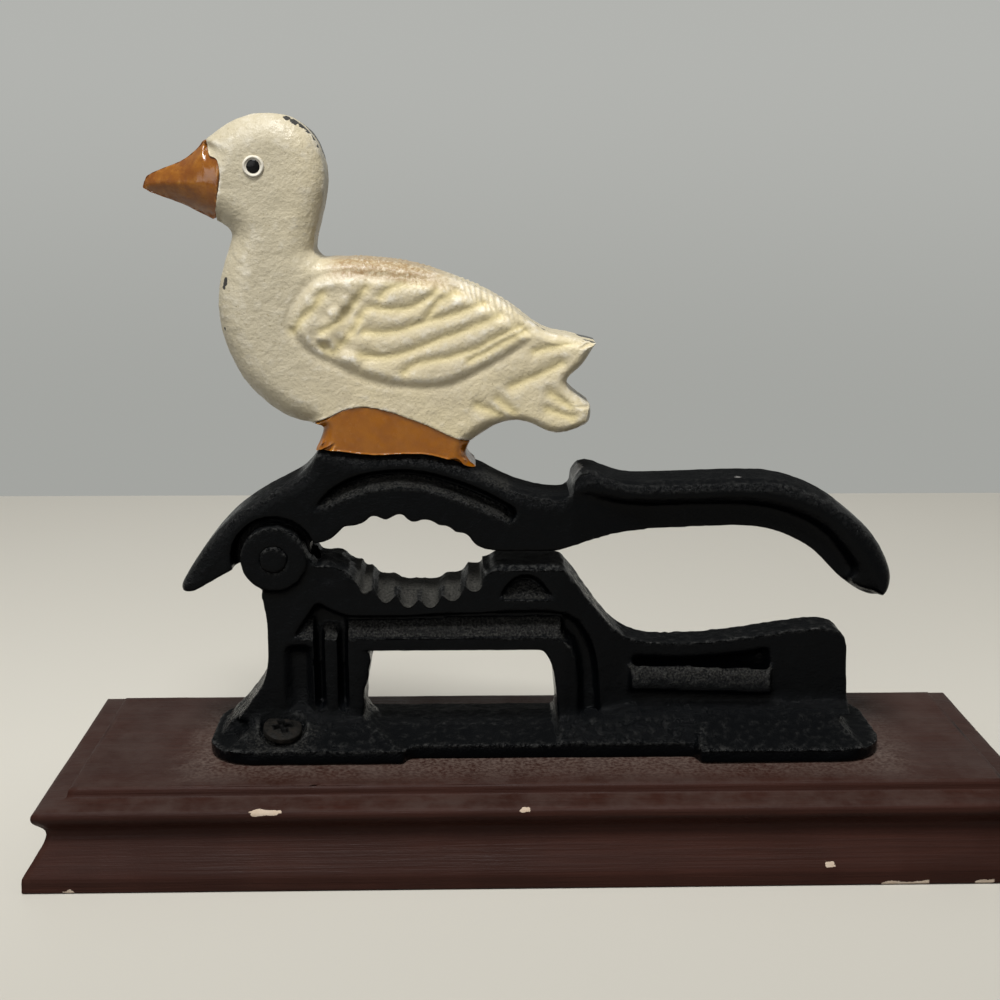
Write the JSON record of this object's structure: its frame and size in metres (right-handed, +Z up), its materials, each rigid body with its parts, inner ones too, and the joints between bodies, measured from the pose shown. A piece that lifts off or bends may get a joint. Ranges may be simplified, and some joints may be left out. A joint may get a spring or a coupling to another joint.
{
  "type": "lever nutcracker press",
  "caption": "Tabletop lever nutcracker: goose figure on a hinged toothed lever over a cast-iron stand with grooved jaw and hand rest, screwed to a moulded wooden plinth.",
  "frame": {"origin": "middle of the plinth's underside", "axes": "+X along the plinth from the goose's bill towards the handle, +Y across it to the rear, +Z up"},
  "size_m": [0.23, 0.073, 0.1673],
  "materials": {
    "mahogany_paint": "satin",
    "black_enamel": "satin",
    "screw_steel": "worn",
    "cream_paint": "satin",
    "bill_paint": "gloss",
    "feet_paint": "gloss",
    "eye_paint": "gloss"
  },
  "bodies": {
    "stand": {"plinth": "mahogany_paint", "stand_foot": "black_enamel", "stand_front_post": "black_enamel", "stand_lower_jaw": "black_enamel", "stand_anvil": "black_enamel", "stand_rear_post": "black_enamel", "stand_hand_rest": "black_enamel", "base_screw_front": "screw_steel", "base_screw_rear": "screw_steel", "pivot_pin": "black_enamel"},
    "lever": {"lever_upper_jaw": "black_enamel", "lever_handle": "black_enamel", "goose_feet": "feet_paint", "goose_body": "cream_paint", "goose_bill": "bill_paint", "goose_wing_front": "cream_paint", "goose_wing_rear": "cream_paint", "goose_eye_front": "eye_paint", "goose_eye_rear": "eye_paint"}
  },
  "joints": [
    {"name": "lever_hinge", "type": "hinge", "parent": "stand", "child": "lever", "pos_m": [-0.061, 0, 0.0685], "axis": [0, -1, 0], "range_deg": [0, 42]}
  ]
}
